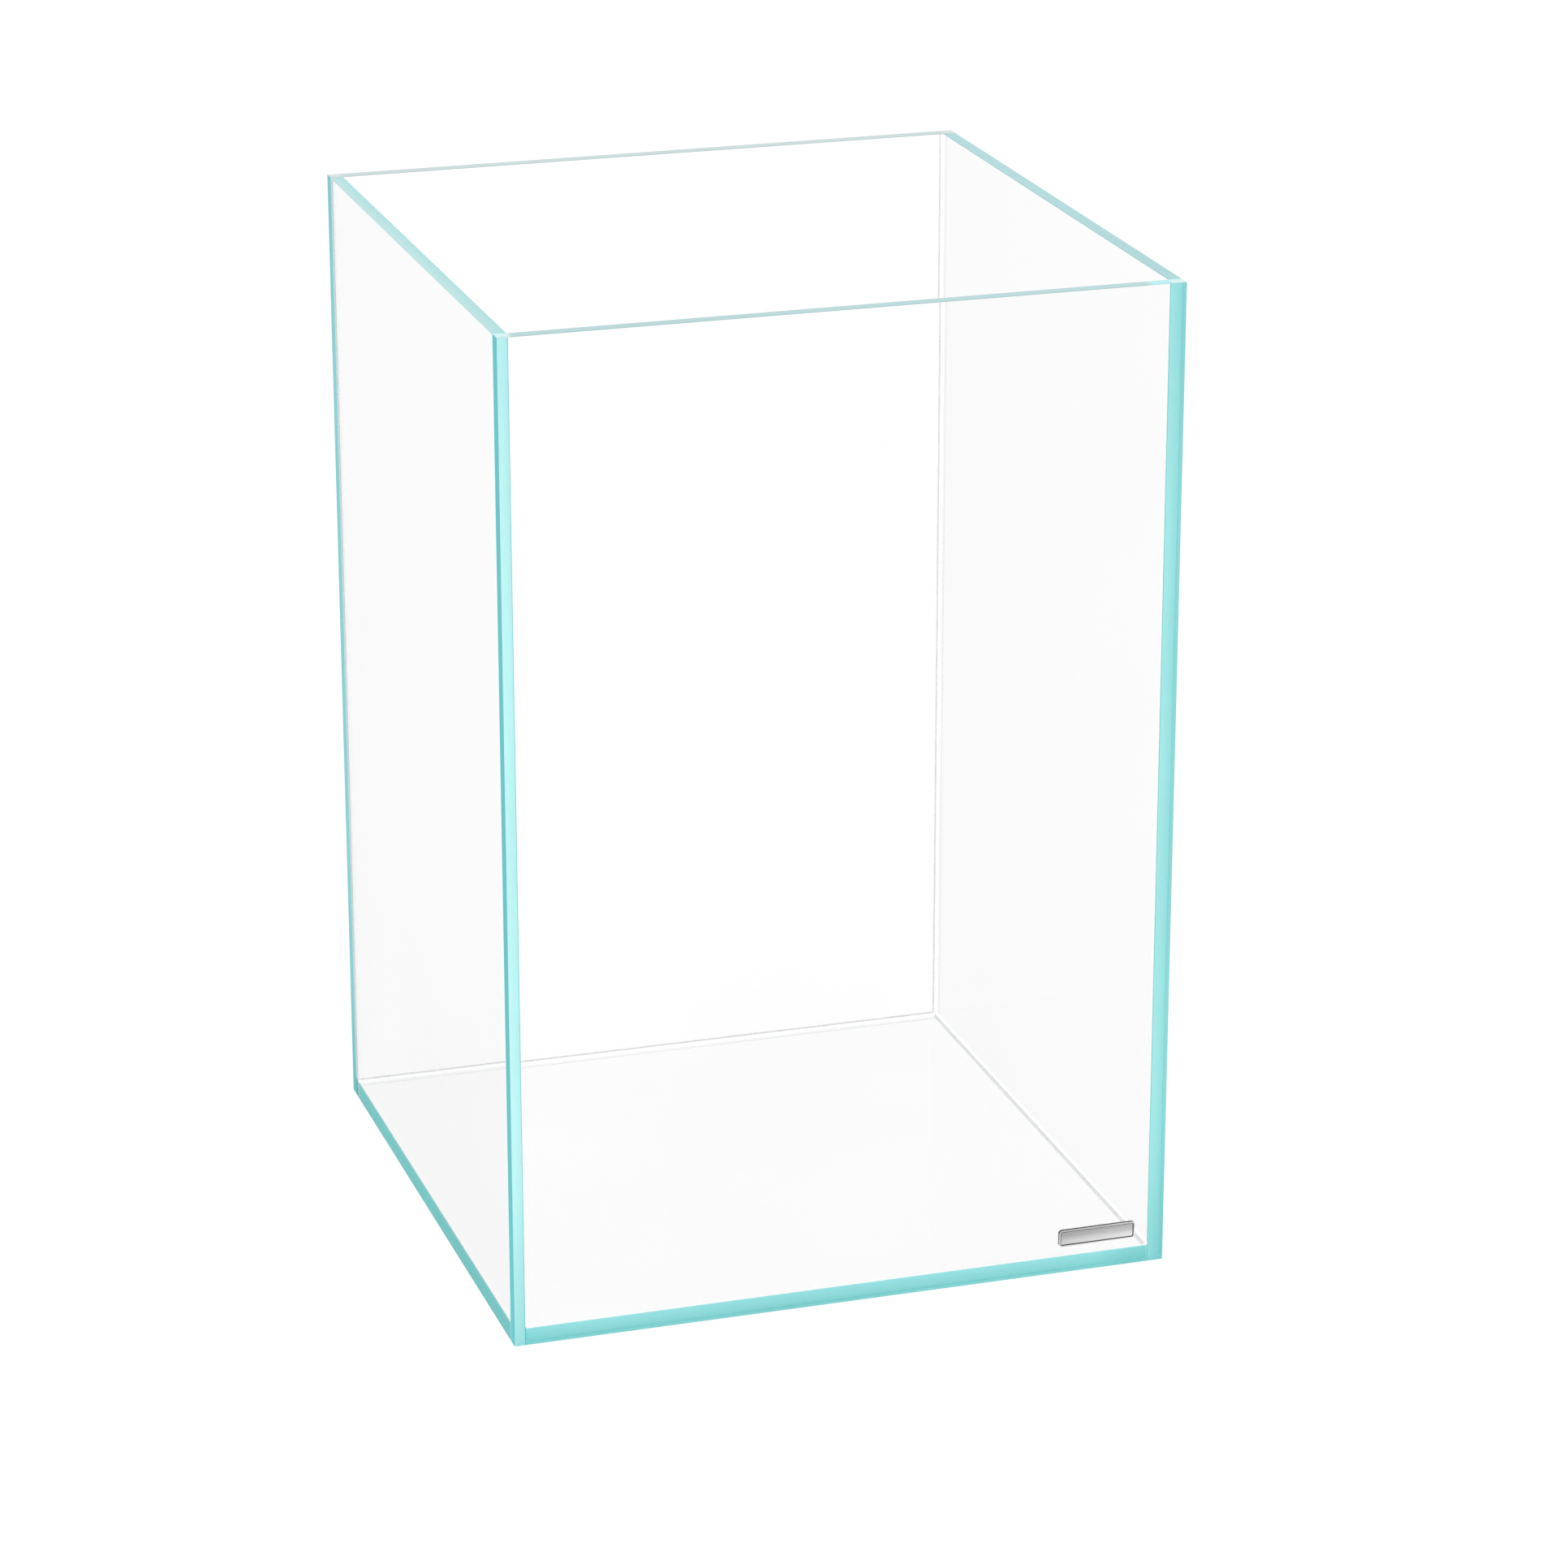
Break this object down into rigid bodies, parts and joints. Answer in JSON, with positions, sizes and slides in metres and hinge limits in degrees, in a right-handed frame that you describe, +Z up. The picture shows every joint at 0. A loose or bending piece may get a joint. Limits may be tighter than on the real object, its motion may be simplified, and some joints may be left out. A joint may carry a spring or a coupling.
{
  "type": "glass aquarium tank",
  "caption": "Tall rimless aquarium tank of clear butt-jointed glass panes with polished edges, clear silicone seams, an open top and a small blank metal nameplate.",
  "frame": {"origin": "middle of the tank's underside, on the surface that it stands on", "axes": "+X to the right along the front pane, +Y to the back, +Z up"},
  "size_m": [0.3, 0.3016, 0.45],
  "materials": {
    "glass": "polished clear low-iron float glass",
    "bond": "clear cured silicone",
    "bead": "smooth clear cured silicone",
    "nameplate": "fine brushed, with a polished border"
  },
  "bodies": {
    "root": {"front_pane": "glass", "back_pane": "glass", "left_pane": "glass", "right_pane": "glass", "base_pane": "glass", "front_left_bond": "bond", "front_right_bond": "bond", "back_left_bond": "bond", "back_right_bond": "bond", "base_front_bond": "bond", "base_back_bond": "bond", "base_left_bond": "bond", "base_right_bond": "bond", "front_left_bead": "bead", "front_right_bead": "bead", "back_left_bead": "bead", "back_right_bead": "bead", "base_front_bead": "bead", "base_back_bead": "bead", "base_left_bead": "bead", "base_right_bead": "bead", "nameplate": "nameplate"}
  },
  "joints": []
}
